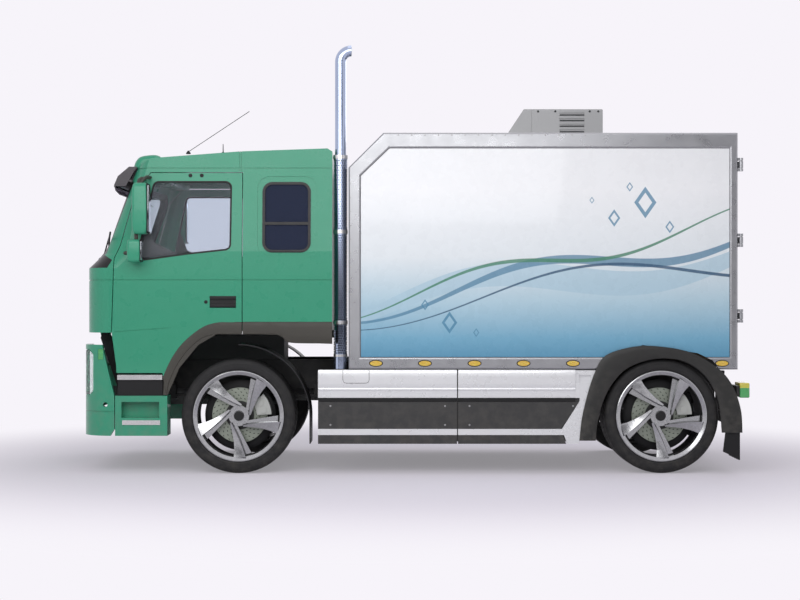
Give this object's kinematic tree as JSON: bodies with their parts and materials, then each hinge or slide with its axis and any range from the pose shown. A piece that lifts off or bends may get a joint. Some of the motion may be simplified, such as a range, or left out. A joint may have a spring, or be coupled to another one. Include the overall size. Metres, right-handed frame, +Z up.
{
  "type": "two-axle cab-over box truck",
  "caption": "Short green cab-over box truck with hinged doors, tilting cab, steered wheels and swept five-spoke rims.",
  "frame": {"origin": "on the ground below the middle of the whole vehicle", "axes": "+X forward, +Y to the truck's left, +Z up"},
  "size_m": [6.07, 2.96, 3.87],
  "materials": {
    "cab_green": "gloss",
    "panel_print": "gloss",
    "body_silver": "satin",
    "skirt_silver": "satin",
    "skirt_grey": "satin",
    "fender_grey": "satin",
    "trim_dark": "satin",
    "black_plastic": "matte",
    "interior": "matte",
    "frame_black": "satin",
    "cast_grey": "matte",
    "caliper_silver": "satin",
    "disc_steel": "satin",
    "rim_alloy": "polished",
    "tyre_rubber": "matte",
    "chrome": "polished",
    "tinted_glass": "gloss",
    "clear_glass": "gloss",
    "lamp": "gloss",
    "floor_grey": "matte",
    "white_plastic": "satin"
  },
  "bodies": {
    "chassis": {"chassis_frame": "frame_black", "leaf_springs": "frame_black", "power_unit": "cast_grey", "tanks": "frame_black", "front_axle": "cast_grey", "rear_axle": "cast_grey", "exhaust_stack": "chrome", "heat_shield": "chrome", "body_frame": "body_silver", "side_panels": "panel_print", "load_floor": "floor_grey", "body_walls": "body_silver", "roof_cooler": "white_plastic", "rear_fenders": "fender_grey", "skirt_rails": "skirt_silver", "skirt_panels": "skirt_grey", "lamps": "lamp", "underrun_bar": "frame_black", "front_bumper": "cab_green", "headlamps": "clear_glass", "step_boxes": "cab_green", "step_treads": "skirt_silver", "mudguards": "black_plastic"},
    "cab": {"cab_shell": "cab_green", "cab_glass": "tinted_glass", "window_frames": "black_plastic", "roof_visor": "black_plastic", "dashboard": "interior", "seats": "interior", "front_grille": "black_plastic", "cab_arches": "trim_dark"},
    "steering_wheel": {"steering_wheel": "interior"},
    "knuckle_left": {"knuckle_left": "cast_grey"},
    "knuckle_right": {"knuckle_right": "cast_grey"},
    "tie_rod": {"tie_rod": "cast_grey"},
    "rear_door_left": {"rear_door_left": "body_silver"},
    "rear_door_right": {"rear_door_right": "body_silver"},
    "door_left": {"door_left": "cab_green", "door_glass_left": "tinted_glass", "mirror_left": "cab_green", "door_trim_left": "trim_dark"},
    "wheel_front_left": {"tyre_front_left": "tyre_rubber", "rim_front_left": "rim_alloy", "brake_disc_front_left": "disc_steel"},
    "wheel_rear_left": {"tyre_rear_left": "tyre_rubber", "rim_rear_left": "rim_alloy", "brake_disc_rear_left": "disc_steel"},
    "door_right": {"door_right": "cab_green", "door_glass_right": "tinted_glass", "mirror_right": "cab_green", "door_trim_right": "trim_dark"},
    "wheel_front_right": {"tyre_front_right": "tyre_rubber", "rim_front_right": "rim_alloy", "brake_disc_front_right": "disc_steel"},
    "wheel_rear_right": {"tyre_rear_right": "tyre_rubber", "rim_rear_right": "rim_alloy", "brake_disc_rear_right": "disc_steel"}
  },
  "joints": [
    {"name": "steer_left", "type": "hinge", "parent": "chassis", "child": "knuckle_left", "pos_m": [1.565, 0.88, 0.517], "axis": [0, 0, 1], "range_deg": [-35, 35]},
    {"name": "steer_right", "type": "hinge", "parent": "chassis", "child": "knuckle_right", "pos_m": [1.565, -0.88, 0.517], "axis": [0, 0, 1], "range_deg": [-35, 35]},
    {"name": "tie_rod_end", "type": "hinge", "parent": "knuckle_left", "child": "tie_rod", "pos_m": [1.335, 0.88, 0.311], "axis": [0, 0, 1], "range_deg": [-35, 35]},
    {"name": "cab_tilt", "type": "hinge", "parent": "chassis", "child": "cab", "pos_m": [2.895, 0, 1.215], "axis": [0, 1, 0], "range_deg": [0, 60]},
    {"name": "door_left_hinge", "type": "hinge", "parent": "cab", "child": "door_left", "pos_m": [2.702, 1.24, 1.6], "axis": [0, 0, -1], "range_deg": [0, 70]},
    {"name": "door_right_hinge", "type": "hinge", "parent": "cab", "child": "door_right", "pos_m": [2.702, -1.24, 1.6], "axis": [0, 0, 1], "range_deg": [0, 70]},
    {"name": "rear_door_left_hinge", "type": "hinge", "parent": "chassis", "child": "rear_door_left", "pos_m": [-2.957, 1.24, 2.1], "axis": [0, 0, -1], "range_deg": [0, 250]},
    {"name": "rear_door_right_hinge", "type": "hinge", "parent": "chassis", "child": "rear_door_right", "pos_m": [-2.957, -1.24, 2.1], "axis": [0, 0, 1], "range_deg": [0, 250]},
    {"name": "steering_wheel_turn", "type": "hinge", "parent": "cab", "child": "steering_wheel", "pos_m": [2.265, 0.56, 1.98], "axis": [-0.5, 0, 0.866], "range_deg": [-560, 560]},
    {"name": "wheel_front_left_spin", "type": "hinge", "parent": "knuckle_left", "child": "wheel_front_left", "pos_m": [1.565, 1.05, 0.517], "axis": [0, 1, 0], "continuous": true},
    {"name": "wheel_rear_left_spin", "type": "hinge", "parent": "chassis", "child": "wheel_rear_left", "pos_m": [-2.245, 1.005, 0.517], "axis": [0, 1, 0], "continuous": true},
    {"name": "wheel_front_right_spin", "type": "hinge", "parent": "knuckle_right", "child": "wheel_front_right", "pos_m": [1.565, -1.05, 0.517], "axis": [0, 1, 0], "continuous": true},
    {"name": "wheel_rear_right_spin", "type": "hinge", "parent": "chassis", "child": "wheel_rear_right", "pos_m": [-2.245, -1.005, 0.517], "axis": [0, 1, 0], "continuous": true}
  ],
  "couplings": [
    {"joint": "steer_right", "follows": "steer_left", "ratio": 1},
    {"joint": "tie_rod_end", "follows": "steer_left", "ratio": -1},
    {"joint": "steering_wheel_turn", "follows": "steer_left", "ratio": 16}
  ]
}
